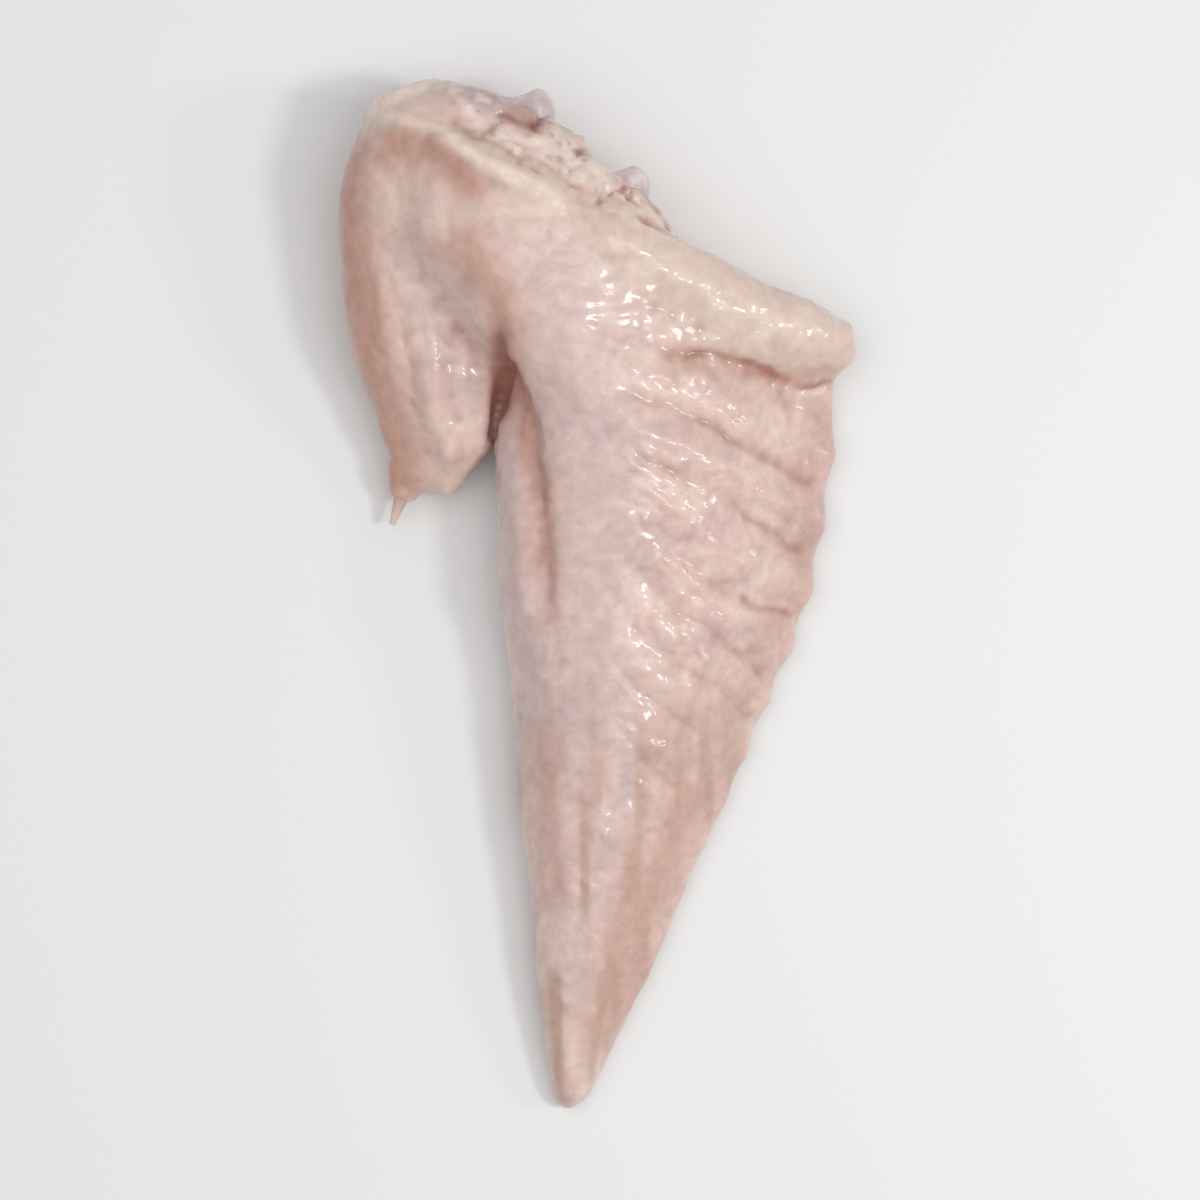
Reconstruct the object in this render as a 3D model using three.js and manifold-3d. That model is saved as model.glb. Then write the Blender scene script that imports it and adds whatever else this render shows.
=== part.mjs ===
// A raw chicken wing tip: the last joint of the wing, cut off at the wrist, with its thumb and its skin on.
// It lies on its inner side with the outer, feathered side up.
// Millimetres. +Z is up, +Y points to the cut wrist, -Y to the tip, and the thumb is on the -X side.
// The origin is on the surface that it lies on, below the middle of its box.
import * as THREE from "three";
import { LoftGeometry } from "three/addons/geometries/LoftGeometry.js";
import { mergeVertices } from "three/addons/utils/BufferGeometryUtils.js";
import Module from "manifold-3d";

// Driving dimensions.
const LENGTH = 91; // from the cut wrist to the end of the tip
const WIDTH = 46; // from the outer side of the thumb to the corner of the rolled skin
const WRIST_HEIGHT = 15; // crest of the skin over the wrist joint
const PIECE_GAP = 0.3; // clearance between the flesh and what is set in it

// How finely each form is divided.
const TOP_STEPS = 28; // across the upper side of the hand
const UNDER_STEPS = 12; // across its under side
const HAND_STATIONS = 70; // from the wrist to where the tip is rounded off
const TIP_STATIONS = 6;
const THUMB_STATIONS = 28;
const THUMB_STEPS = 28;
const HEM_STATIONS = 32;
const JOINT_STATIONS = 22;
const OVAL_STEPS = 14; // round the hem and the joint
const BONE_STEPS = 18;
const CLAW_STATIONS = 6;
const CLAW_STEPS = 10;

const { lerp, smoothstep } = THREE.MathUtils;
const bell = (x, middle, spread) => Math.exp(-(((x - middle) / spread) ** 2));

// A smooth curve through places that are shares of the width and the length, from the middle of the box.
const planCurve = (shares) =>
  new THREE.SplineCurve(shares.map(([across, down]) => new THREE.Vector2(across * WIDTH, down * LENGTH)));

// A size that changes smoothly along a form, from values at evenly spaced places.
function along(values) {
  const curve = new THREE.SplineCurve(values.map((value, i) => new THREE.Vector2(i, value)));
  return (share) => curve.getPoint(share).y;
}
const heights = (shares) => along(shares.map((share) => share * WRIST_HEIGHT));

// One ring of points round a form: across runs from 1 to -1 over the top and back, and rise goes up and down.
function ring(topSteps, underSteps, pointAt) {
  const points = [];
  for (let i = 0; i < topSteps + underSteps; i++) {
    const turn = i < topSteps ? i / topSteps : 1 + (i - topSteps) / underSteps;
    points.push(pointAt(Math.cos(Math.PI * turn), Math.sin(Math.PI * turn)));
  }
  return points;
}

// A skin over rings of points, drawn in to one point at each end.
const middleOf = (points) =>
  points.reduce((sum, point) => sum.add(point), new THREE.Vector3()).divideScalar(points.length);
function closedLoft(rings) {
  const pole = (points) => new Array(points.length).fill(middleOf(points));
  return new LoftGeometry([pole(rings[0]), ...rings, pole(rings[rings.length - 1])]);
}

// The hand: the two edges of its outline, from the wrist to the tip.
// At the wrist the leading edge takes in the root of the thumb; below the notch it follows the bone.
const LEADING_EDGE = planCurve([
  [-0.44, 0.458],
  [-0.445, 0.37],
  [-0.32, 0.285],
  [-0.194, 0.205],
  [-0.2, 0.09],
  [-0.177, -0.05],
  [-0.152, -0.2],
  [-0.124, -0.33],
  [-0.1, -0.43],
  [-0.082, -0.5],
]);
const TRAILING_EDGE = planCurve([
  [0.46, 0.262],
  [0.457, 0.195],
  [0.448, 0.13],
  [0.432, 0.07],
  [0.392, -0.02],
  [0.318, -0.115],
  [0.224, -0.225],
  [0.134, -0.33],
  [0.036, -0.43],
  [-0.03, -0.5],
]);

// The hand's heights at the same places: its two edges, and the rise of the crest above them.
const leadingHeight = heights([0.42, 0.4, 0.36, 0.33, 0.3, 0.27, 0.23, 0.18, 0.13, 0.09]);
const trailingHeight = heights([0.22, 0.17, 0.14, 0.13, 0.12, 0.12, 0.12, 0.12, 0.1, 0.08]);
const crestRise = heights([0.66, 0.68, 0.66, 0.62, 0.54, 0.46, 0.37, 0.27, 0.17, 0.09]);
const crestAt = along([-0.36, -0.34, -0.3, -0.26, -0.22, -0.2, -0.2, -0.2, -0.2, -0.2]);
const WEB_FALL = 1.15; // over 1 makes the web hollow out towards its thin edge
const TIP_CAP = 0.05; // share of the hand that rounds off the tip

// The section's upper line: a round front over the bone, then a long fall to the thin edge of the web.
function crown(across, crest) {
  const ahead = (crest - across) / (crest + 1);
  const behind = (across - crest) / (1 - crest);
  return across < crest ? Math.sqrt(1 - ahead ** 2) : (1 - behind ** 2) ** WEB_FALL;
}

// How much of the section is left at a share of the hand: all of it, until the tip is rounded off.
const tipCap = (share) => Math.sqrt(1 - (Math.max(share - 1 + TIP_CAP, 0) / TIP_CAP) ** 2);

// The under side: flat where it bears on the surface, and hollow under the web.
const UNDER_FULLNESS = 0.5; // under 1 makes the under side squarer than an ellipse
const HOLLOW_RISE = 2.4;
const HOLLOW_ACROSS = 0.3;
const HOLLOW_SPREAD = 0.4;
const HOLLOW_DOWN = 0.45;
const HOLLOW_LENGTH = 0.35;
const BEARING = 0.8; // how much the skin flattens under the weight

function underHollow(share, across) {
  const hollow = bell(across, HOLLOW_ACROSS, HOLLOW_SPREAD) * bell(share, HOLLOW_DOWN, HOLLOW_LENGTH);
  return HOLLOW_RISE * hollow - BEARING;
}

// The groove behind the leading edge, below the thumb: it runs in from the edge as it goes down.
const GROOVE_DEPTH = 1.7;
const GROOVE_WIDTH = 0.085;
const GROOVE_MIDDLE = 0.42;
const GROOVE_REACH = 0.1;

function groove(share, across) {
  const fallen = smoothstep(share, GROOVE_MIDDLE - GROOVE_REACH, GROOVE_MIDDLE + GROOVE_REACH);
  const place = lerp(-0.93, -0.7, fallen);
  return GROOVE_DEPTH * bell(across, place, GROOVE_WIDTH) * bell(share, GROOVE_MIDDLE, GROOVE_REACH);
}

// The rows of feather sockets: low ridges that fan out from the wrist across the web and scallop its edge.
const RIDGE_PITCH = 4.7;
const RIDGE_HEIGHT = 0.42;
const RIDGE_TOP = 0.22 * LENGTH;
const RIDGE_SLOPE = 0.35; // fall of the uppermost ridge, for each millimetre across
const RIDGE_FAN = 0.019; // how much steeper each ridge is for each millimetre down the hand
const SCALLOP = 0.45;

function ridgeWave(share, x, y) {
  const phase = (y - RIDGE_TOP + RIDGE_SLOPE * x) / (1 + RIDGE_FAN * Math.max(x, 0));
  const fade = smoothstep(share, 0.12, 0.24) * (1 - smoothstep(share, 0.52, 0.76));
  return fade * Math.cos((2 * Math.PI * phase) / RIDGE_PITCH);
}

// The cut at the wrist slants, and bows out between its ends.
const CUT_OUTWARD = new THREE.Vector2(0.377, 0.926);
const CUT_SLANT = 4.2; // how far the under skin reaches past the upper skin
const CUT_BOW = 1.3;
const CUT_LENGTH = 0.16; // share of the hand over which the slant dies out
const JOINT_ACROSS = -0.42; // the joint's place across the hand
const JOINT_SPREAD = 0.5;

function cutReach(share, across, z) {
  const slant = CUT_SLANT * bell(across, JOINT_ACROSS, JOINT_SPREAD) * (1 - z / WRIST_HEIGHT);
  return (1 - smoothstep(share, 0, CUT_LENGTH)) * (slant + CUT_BOW * (1 - across ** 2));
}

// A point of the hand's skin at a share of its length.
function handPoint(share, across, rise) {
  const cap = tipCap(share);
  const back = (across * cap + 1) / 2;
  const trail = TRAILING_EDGE.getPoint(share);
  trail.x += SCALLOP * ridgeWave(share, trail.x, trail.y);
  const plan = LEADING_EDGE.getPoint(share).lerp(trail, back);
  const edge = lerp(leadingHeight(share), trailingHeight(share), back);
  let z = edge;
  if (rise > 0) {
    const ridges = RIDGE_HEIGHT * ridgeWave(share, plan.x, plan.y) * smoothstep(across, -0.3, 0.3);
    z += crown(across, crestAt(share)) * cap * crestRise(share) + rise * (ridges - groove(share, across));
  } else {
    z += (-rise) ** UNDER_FULLNESS * cap * (underHollow(share, across) - edge);
  }
  plan.addScaledVector(CUT_OUTWARD, cutReach(share, across, z));
  return new THREE.Vector3(plan.x, plan.y, Math.max(z, 0));
}

const handRing = (share) => ring(TOP_STEPS, UNDER_STEPS, (across, rise) => handPoint(share, across, rise));

// The cut face, in rings from its middle to the rim of skin: the joint swells out past the edge of the skin,
// so that it shows from above. A step lies inside the rim, and torn membrane makes the face craggy.
const FACE_RINGS = [0.1, 0.28, 0.46, 0.63, 0.78, 0.87, 0.94, 0.98]; // shares of the rim's outline
const SWELL = 3.8;
const SWELL_MIDDLE = -0.17 * WIDTH;
const SWELL_SPREAD = 0.2 * WIDTH;
const RIM_STEP = 1.0;
const RIM_STEP_AT = 0.85;
const RIM_STEP_SPREAD = 0.09;
const CRAG_HEIGHT = 0.45;

function faceReach(scale, point) {
  const swell = SWELL * bell(point.x, SWELL_MIDDLE, SWELL_SPREAD) * (1 - scale ** 3);
  const crags = CRAG_HEIGHT * Math.sin(1.3 * point.x) * Math.cos(1.1 * point.z + 0.6 * point.x);
  const step = RIM_STEP * bell(scale, RIM_STEP_AT, RIM_STEP_SPREAD);
  return swell + crags * (1 - smoothstep(scale, 0.6, 0.9)) - step;
}

function cutFaceRings() {
  const rim = handRing(0);
  const middle = middleOf(rim);
  return FACE_RINGS.map((scale) =>
    rim.map((point) => {
      const moved = middle.clone().lerp(point, scale);
      const reach = faceReach(scale, moved);
      moved.x += CUT_OUTWARD.x * reach;
      moved.y += CUT_OUTWARD.y * reach;
      return moved;
    }),
  );
}

// The stations are closer together where the tip is rounded off.
function handGeometry() {
  const rings = cutFaceRings();
  for (let i = 0; i < HAND_STATIONS; i++) rings.push(handRing((i / HAND_STATIONS) * (1 - TIP_CAP)));
  for (let i = 0; i < TIP_STATIONS; i++) {
    const quarterTurn = (0.5 * Math.PI * i) / TIP_STATIONS;
    rings.push(handRing(1 - TIP_CAP + TIP_CAP * Math.sin(quarterTurn)));
  }
  return closedLoft(rings);
}

// A bar along a curve in plan: its sections stand across the curve, and sized places each point in them.
function barAlong(curve, stations, steps, sized) {
  const rings = [];
  for (let i = 0; i <= stations; i++) {
    const share = i / stations;
    const centre = curve.getPoint(share);
    const way = curve.getTangent(share);
    rings.push(
      ring(steps / 2, steps / 2, (across, rise) => {
        const { side, z } = sized(share, across, rise);
        return new THREE.Vector3(centre.x - way.y * side, centre.y + way.x * side, Math.max(z, 0));
      }),
    );
  }
  return closedLoft(rings);
}

// The thumb: a flat lobe beside the leading edge, from the shoulder of the wrist to its blunt end.
const THUMB_SPINE = planCurve([
  [-0.3, 0.492],
  [-0.316, 0.462],
  [-0.328, 0.4],
  [-0.331, 0.33],
  [-0.337, 0.26],
  [-0.311, 0.195],
  [-0.317, 0.14],
  [-0.34, 0.108],
]);
const thumbWidth = along([1.0, 5.2, 7.7, 7.8, 6.8, 5.8, 4.5, 2.0]);
const thumbTop = heights([0.6, 0.86, 0.87, 0.78, 0.68, 0.58, 0.46, 0.26]);
const thumbUnder = heights([0.36, 0.14, 0.04, 0, 0.03, 0.06, 0.07, 0.15]);
const THUMB_FOLDS = 3.5; // lengthwise wrinkles across its width
const FOLD_DEPTH = 0.2;

function thumbGeometry() {
  return barAlong(THUMB_SPINE, THUMB_STATIONS, THUMB_STEPS, (share, across, rise) => {
    const folds = FOLD_DEPTH * Math.cos(Math.PI * THUMB_FOLDS * across) * smoothstep(share, 0.3, 0.6);
    const z = lerp(thumbUnder(share), thumbTop(share), (rise + 1) / 2) + Math.max(rise, 0) * folds;
    return { side: across * thumbWidth(share), z };
  });
}

// A bar with an oval section, of which the width, the top and the under side change along it.
function ovalBar(curve, stations, { width, top, under }) {
  return barAlong(curve, stations, OVAL_STEPS, (share, across, rise) => ({
    side: across * width(share),
    z: lerp(under(share), top(share), (rise + 1) / 2),
  }));
}

// The hem: the cut edge of the upper skin, a thin lip over the joint that widens into a fat rolled fold.
const HEM_LINE = planCurve([
  [-0.41, 0.435],
  [-0.272, 0.43],
  [-0.14, 0.393],
  [0.03, 0.341],
  [0.2, 0.286],
  [0.35, 0.254],
  [0.445, 0.246],
  [0.495, 0.252],
]);
const HEM_SIZES = {
  width: along([0.5, 0.9, 1.1, 2.4, 4.0, 4.0, 3.3, 1.9]),
  top: heights([0.82, 1.0, 1.02, 0.93, 0.76, 0.57, 0.47, 0.35]),
  under: heights([0.74, 0.86, 0.84, 0.66, 0.36, 0.12, 0.06, 0.14]),
};

// The joint: a bulge of gristle under the lip, from the shoulder of the thumb along the cut.
const JOINT_LINE = planCurve([
  [-0.36, 0.462],
  [-0.27, 0.468],
  [-0.175, 0.452],
  [-0.065, 0.412],
  [0.065, 0.372],
  [0.17, 0.325],
]);
const JOINT_SIZES = {
  width: along([1.2, 2.6, 2.9, 2.8, 1.9, 0.8]),
  top: heights([0.66, 0.86, 0.9, 0.84, 0.74, 0.55]),
  under: heights([0.4, 0.3, 0.28, 0.26, 0.26, 0.35]),
};

// The two wrist bones: a knob of gristle with a shallow hollow at the cut, on a shaft down the hand.
// Each has its face at the cut and its far end, as shares of the width, the length and the wrist's height.
const at = (across, down, high) => new THREE.Vector3(across * WIDTH, down * LENGTH, high * WRIST_HEIGHT);
const BONES = [
  {
    name: "wrist_bone_major",
    knob: 3.9, // radius
    shaft: 2.1, // radius
    face: at(-0.175, 0.482, 0.54),
    end: at(-0.03, 0.06, 0.4),
  },
  {
    name: "wrist_bone_minor",
    knob: 2.9,
    shaft: 1.4,
    face: at(0.025, 0.412, 0.48),
    end: at(0.11, 0.1, 0.3),
  },
];
const boneLength = ({ face, end }) => face.distanceTo(end);

// The outside of a bone, as distances from its axis and from its face: round knob, neck and shaft.
function boneSide(bone) {
  const { knob, shaft } = bone;
  return [
    [knob, -0.32 * knob],
    [0.98 * knob, -0.75 * knob],
    [0.74 * knob, -1.5 * knob],
    [shaft, -2.6 * knob],
    [shaft, shaft - boneLength(bone)],
  ];
}

const turned = (profile) =>
  new THREE.LatheGeometry(
    profile.map(([radius, height]) => new THREE.Vector2(radius, height)).reverse(),
    BONE_STEPS,
  );

function boneGeometry(bone) {
  const { knob, shaft } = bone;
  const length = boneLength(bone);
  const hollow = [
    [0, -0.14 * knob],
    [0.3 * knob, -0.1 * knob],
    [0.52 * knob, 0.02 * knob],
    [0.76 * knob, 0.02 * knob],
  ];
  const end = [
    [0.7 * shaft, 0.3 * shaft - length],
    [0, -length],
  ];
  return turned([...hollow, ...boneSide(bone), ...end]);
}

// The bone's channel in the flesh: the same outside, a gap wider, and open past the cut.
function channelGeometry(bone) {
  const past = 3 * bone.knob;
  const foot = -boneLength(bone) - PIECE_GAP;
  const side = boneSide(bone).map(([radius, height]) => [radius + PIECE_GAP, height]);
  const mouth = [
    [0, past],
    [bone.knob + PIECE_GAP, past],
  ];
  const bottom = [
    [bone.shaft + PIECE_GAP, foot],
    [0, foot],
  ];
  return turned([...mouth, ...side, ...bottom]);
}

// A turned piece is set with its axis from its far end to its face.
function setOnAxis(object, { face, end }) {
  object.position.copy(face);
  object.quaternion.setFromUnitVectors(new THREE.Vector3(0, 1, 0), face.clone().sub(end).normalize());
  object.updateMatrix();
  return object;
}

// The claw on the thumb's end: a bent horn, set in the skin.
const CLAW_LINE = new THREE.QuadraticBezierCurve3(
  at(-0.36, 0.135, 0.2),
  at(-0.378, 0.105, 0.2),
  at(-0.402, 0.073, 0.13),
);
const CLAW_RADIUS = 1.05;
const CLAW_TAPER = 0.75; // share of the radius that is lost by the tip

function clawRing(share, gap) {
  const way = CLAW_LINE.getTangent(share);
  const side = new THREE.Vector3(0, 0, 1).cross(way).normalize();
  const up = way.clone().cross(side);
  const radius = CLAW_RADIUS * (1 - CLAW_TAPER * share ** 1.3) + gap;
  return ring(CLAW_STEPS / 2, CLAW_STEPS / 2, (across, rise) => {
    const point = CLAW_LINE.getPoint(share).addScaledVector(side, radius * across);
    return point.addScaledVector(up, radius * rise);
  });
}

function clawGeometry(gap) {
  const rings = [];
  for (let i = 0; i <= CLAW_STATIONS; i++) rings.push(clawRing(i / CLAW_STATIONS, gap));
  const back = CLAW_LINE.getTangent(0).multiplyScalar(-gap);
  rings[0].forEach((point) => point.add(back));
  return closedLoft(rings);
}

// Joins and cuts of closed meshes.
const wasm = await Module();
wasm.setup();
const MERGE_WITHIN = 1e-4;

// Only the places and the triangles are kept, with shared corners merged and triangles of no area dropped.
function solidOf(geometry) {
  const bare = new THREE.BufferGeometry();
  bare.setAttribute("position", geometry.attributes.position);
  bare.setIndex(geometry.index);
  const merged = mergeVertices(bare, MERGE_WITHIN);
  const corners = merged.index.array;
  const triangles = [];
  for (let i = 0; i < corners.length; i += 3) {
    const [a, b, c] = corners.slice(i, i + 3);
    if (a !== b && b !== c && c !== a) triangles.push(a, b, c);
  }
  const vertProperties = merged.attributes.position.array;
  const triVerts = new Uint32Array(triangles);
  return new wasm.Manifold(new wasm.Mesh({ numProp: 3, vertProperties, triVerts }));
}

function geometryOf(solid) {
  const { vertProperties, triVerts } = solid.getMesh();
  const geometry = new THREE.BufferGeometry();
  geometry.setAttribute("position", new THREE.BufferAttribute(vertProperties, 3));
  geometry.setIndex(new THREE.BufferAttribute(triVerts, 1));
  geometry.computeVertexNormals();
  return geometry;
}

// The skin and the flesh in it are one piece, with a channel for each bone and a socket for the claw.
function fleshGeometry() {
  let flesh = solidOf(handGeometry());
  flesh = flesh.add(solidOf(thumbGeometry()));
  flesh = flesh.add(solidOf(ovalBar(HEM_LINE, HEM_STATIONS, HEM_SIZES)));
  flesh = flesh.add(solidOf(ovalBar(JOINT_LINE, JOINT_STATIONS, JOINT_SIZES)));
  for (const bone of BONES) {
    const place = setOnAxis(new THREE.Object3D(), bone).matrix;
    flesh = flesh.subtract(solidOf(channelGeometry(bone).applyMatrix4(place)));
  }
  flesh = flesh.subtract(solidOf(clawGeometry(PIECE_GAP)));
  return geometryOf(flesh);
}

const SKIN = new THREE.MeshStandardMaterial({ color: 0xd9bfb4, roughness: 0.35, metalness: 0 });
const GRISTLE = new THREE.MeshStandardMaterial({ color: 0xcfc3c6, roughness: 0.3, metalness: 0 });
const HORN = new THREE.MeshStandardMaterial({ color: 0xd8cdc4, roughness: 0.4, metalness: 0 });

function named(name, geometry, material) {
  const mesh = new THREE.Mesh(geometry, material);
  mesh.name = name;
  return mesh;
}

const wingTip = new THREE.Group();
wingTip.add(named("skin_and_flesh", fleshGeometry(), SKIN));
for (const bone of BONES) wingTip.add(setOnAxis(named(bone.name, boneGeometry(bone), GRISTLE), bone));
wingTip.add(named("thumb_claw", geometryOf(solidOf(clawGeometry(0))), HORN));

// The middle of the box goes over the origin.
const middle = new THREE.Box3().setFromObject(wingTip, true).getCenter(new THREE.Vector3());
wingTip.position.set(-middle.x, -middle.y, 0);

export default wingTip;
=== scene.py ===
# %% [markdown]
# # A raw chicken wing tip
# The wing tip is the last joint of a chicken's wing, cut off at the wrist with its skin on. Three soft
# forms make it up: a flat hand that tapers to the tip, a thumb that lies beside it, and the rolled hem
# of skin along the cut. Two bone ends show at the cut, and a small claw stands out of the thumb.
# The measured model is loaded first, as a fixed frame. Every surface below is worked out in
# millimetres from the same few sizes, and is put where the frame says.

import bpy
import numpy as np
from numpy.linalg import norm
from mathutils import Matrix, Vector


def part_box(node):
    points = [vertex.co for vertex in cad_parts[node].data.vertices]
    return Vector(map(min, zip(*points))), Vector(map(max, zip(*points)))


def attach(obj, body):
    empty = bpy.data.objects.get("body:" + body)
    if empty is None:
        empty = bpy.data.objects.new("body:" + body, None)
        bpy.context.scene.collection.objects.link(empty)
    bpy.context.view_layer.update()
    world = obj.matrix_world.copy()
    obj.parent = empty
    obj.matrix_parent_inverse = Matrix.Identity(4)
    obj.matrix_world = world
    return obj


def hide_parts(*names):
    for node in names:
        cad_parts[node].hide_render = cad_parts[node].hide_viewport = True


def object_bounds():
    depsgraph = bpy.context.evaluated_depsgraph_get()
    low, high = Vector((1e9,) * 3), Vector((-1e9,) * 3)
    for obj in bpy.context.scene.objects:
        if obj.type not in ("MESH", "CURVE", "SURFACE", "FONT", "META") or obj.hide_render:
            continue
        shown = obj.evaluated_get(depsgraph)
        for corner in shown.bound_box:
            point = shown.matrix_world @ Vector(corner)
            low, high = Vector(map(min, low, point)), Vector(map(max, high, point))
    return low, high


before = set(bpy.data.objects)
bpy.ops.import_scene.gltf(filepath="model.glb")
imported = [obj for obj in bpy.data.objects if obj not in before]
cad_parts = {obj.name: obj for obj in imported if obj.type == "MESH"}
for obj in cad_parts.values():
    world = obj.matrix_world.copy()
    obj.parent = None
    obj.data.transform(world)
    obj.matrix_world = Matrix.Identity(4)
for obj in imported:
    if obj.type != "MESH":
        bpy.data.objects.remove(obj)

CAD_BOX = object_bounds()
MM = 0.001
SKIN_BOX = np.array(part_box("skin_and_flesh")) / MM
print("skin and flesh, mm:", (SKIN_BOX[1] - SKIN_BOX[0]).round(1))

# %% [markdown]
# ## Curves through a few values
# The outline and the heights are known at ten places down the hand. Blender's own curves could be
# bevelled along them, but with one fixed section. Here a smooth curve is a function of a share from 0
# to 1, so any size can change along the form, and whole arrays of shares are worked out at once.

# %% Curves through a few values
LENGTH = 91.0  # from the cut wrist to the end of the tip
WIDTH = 46.0  # from the outer side of the thumb to the corner of the hem
WRIST_HEIGHT = 15.0  # crest of the skin over the wrist joint
PLAN = np.array([WIDTH, LENGTH])


def along(values, share):
    """A smooth curve through evenly spaced values. Between two of them it is the cubic that passes
    through both, with a slope at each that is half the difference of the values on either side."""
    values = np.asarray(values, float)
    last = len(values) - 1
    place = np.clip(share, 0, 1) * last
    first = np.minimum(place.astype(int), last - 1)
    w = place - first
    if values.ndim == 2:
        w = w[..., None]
    before, here, there, after = (values[np.clip(first + i, 0, last)] for i in (-1, 0, 1, 2))
    start = (there - before) / 2
    end = (after - here) / 2
    cubic = 2 * (here - there) + start + end
    square = 3 * (there - here) - 2 * start - end
    return ((cubic * w + square) * w + start) * w + here


def ramp(x, low, high):
    """0 up to low, 1 from high on, and t*t*(3 - 2t) between. With low above high it falls instead."""
    t = np.clip((x - low) / (high - low), 0, 1)
    return t * t * (3 - 2 * t)


def bell(x, middle, spread):
    """1 at the middle, falling as exp(-d*d) with d counted in spreads."""
    return np.exp(-(((x - middle) / spread) ** 2))


print("half way down, the curve through 0, 1, 0 gives", along([0, 1, 0], np.array(0.5)))

# %% [markdown]
# ## The hand
# The hand is a flat tapering form: round in front, where the bones are, and falling off behind to the
# thin edge of the web. It is one surface of two parameters. The share runs from the wrist to the tip,
# and the turn runs once round the section, over the top and back under. The plan of each point lies
# between the two edges of the outline.

# %% The hand's edges and heights
LEADING_EDGE = PLAN * [
    [-0.44, 0.458], [-0.445, 0.37], [-0.32, 0.285], [-0.194, 0.205], [-0.2, 0.09], [-0.177, -0.05],
    [-0.152, -0.2], [-0.124, -0.33], [-0.1, -0.43], [-0.082, -0.5],
]
TRAILING_EDGE = PLAN * [
    [0.46, 0.262], [0.457, 0.195], [0.448, 0.13], [0.432, 0.07], [0.392, -0.02], [0.318, -0.115],
    [0.224, -0.225], [0.134, -0.33], [0.036, -0.43], [-0.03, -0.5],
]
LEADING_HEIGHT = WRIST_HEIGHT * np.array([0.42, 0.4, 0.36, 0.33, 0.3, 0.27, 0.23, 0.18, 0.13, 0.09])
TRAILING_HEIGHT = WRIST_HEIGHT * np.array([0.22, 0.17, 0.14, 0.13, 0.12, 0.12, 0.12, 0.12, 0.1, 0.08])
CREST_RISE = WRIST_HEIGHT * np.array([0.66, 0.68, 0.66, 0.62, 0.54, 0.46, 0.37, 0.27, 0.17, 0.09])
CREST_AT = [-0.36, -0.34, -0.3, -0.26, -0.22, -0.2, -0.2, -0.2, -0.2, -0.2]
WEB_FALL = 1.15  # over 1 makes the web hollow out towards its thin edge
TIP_CAP = 0.05  # share of the hand that rounds off the tip
UNDER_FULLNESS = 0.5  # under 1 makes the under side squarer than an ellipse
print("wrist to tip:", np.ptp(LEADING_EDGE[:, 1]).round(1), "mm along the leading edge")

# %% Ridges at the web's edge
RIDGE_PITCH = 4.7
RIDGE_TOP = 0.22 * LENGTH
RIDGE_SLOPE = 0.35  # fall of the uppermost ridge for each millimetre across
RIDGE_FAN = 0.019  # how much steeper each ridge is for each millimetre down the hand
SCALLOP = 0.25
SCALLOP_IN = (0.12, 0.24)  # shares of the hand where the waves start
SCALLOP_OUT = (0.76, 0.52)  # and where they end


def ridge_phase(x, y):
    """Distance of a place in plan from the uppermost ridge, across ridges that fan out from the wrist."""
    return (y - RIDGE_TOP + RIDGE_SLOPE * x) / (1 + RIDGE_FAN * np.maximum(x, 0))


def scallop(share, x, y):
    """Waves of the web's edge where the ridges meet it: a cosine of the phase, in the hand's middle."""
    fade = ramp(share, *SCALLOP_IN) * ramp(share, *SCALLOP_OUT)
    return SCALLOP * fade * np.cos(2 * np.pi * ridge_phase(x, y) / RIDGE_PITCH)


print("ridges reach the web's edge", RIDGE_PITCH, "mm apart")

# %% The hand's surface
CUT_OUTWARD = np.array([0.377, 0.926])
CUT_SLANT = 4.2  # how far the under skin reaches past the upper skin
SLANT_ACROSS = (-0.42, 0.5)  # middle and spread of the slant, across a section from -1 to 1
CUT_BOW = 1.3
CUT_LENGTH = 0.16  # share of the hand over which the slant dies out
HOLLOW_RISE = 2.4
HOLLOW_ACROSS = (0.3, 0.4)  # middle and spread of the hollow, across a section
HOLLOW_DOWN = (0.45, 0.35)  # and down the hand
BEARING = 0.8  # how much the skin flattens under the weight


def crown(across, crest):
    """The section's upper line: a quarter ellipse in front of the crest, and behind it a power of a
    parabola."""
    ahead = np.clip((crest - across) / (crest + 1), 0, 1)
    behind = np.clip((across - crest) / (1 - crest), 0, 1)
    return np.where(across < crest, np.sqrt(1 - ahead**2), (1 - behind**2) ** WEB_FALL)


def hand_surface(share, turn):
    """A point of the hand. In plan it lies between the edges by the cosine of the turn. Over the top
    its height is the edge height plus crown times rise; below, it falls to the hollow of the under
    side. Near the wrist it is moved along the cut's direction, further where it is lower."""
    across = np.cos(np.pi * turn)
    rise = np.sin(np.pi * turn)
    cap = np.sqrt(1 - (np.clip(share - 1 + TIP_CAP, 0, TIP_CAP) / TIP_CAP) ** 2)
    back = (across * cap + 1) / 2
    trail = along(TRAILING_EDGE, share)
    trail[..., 0] += scallop(share, trail[..., 0], trail[..., 1])
    lead = along(LEADING_EDGE, share)
    plan = lead + (trail - lead) * back[..., None]
    edge = along(LEADING_HEIGHT, share) * (1 - back) + along(TRAILING_HEIGHT, share) * back
    top = edge + crown(across, along(CREST_AT, share)) * cap * along(CREST_RISE, share)
    hollow = HOLLOW_RISE * bell(across, *HOLLOW_ACROSS) * bell(share, *HOLLOW_DOWN) - BEARING
    under = edge + np.clip(-rise, 0, 1) ** UNDER_FULLNESS * cap * (hollow - edge)
    z = np.where(rise > 0, top, under)
    slant = CUT_SLANT * bell(across, *SLANT_ACROSS) * (1 - z / WRIST_HEIGHT)
    reach = ramp(share, CUT_LENGTH, 0) * (slant + CUT_BOW * (1 - across**2))
    plan = plan + reach[..., None] * CUT_OUTWARD
    return np.concatenate([plan, np.maximum(z, 0)[..., None]], axis=-1)


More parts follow.
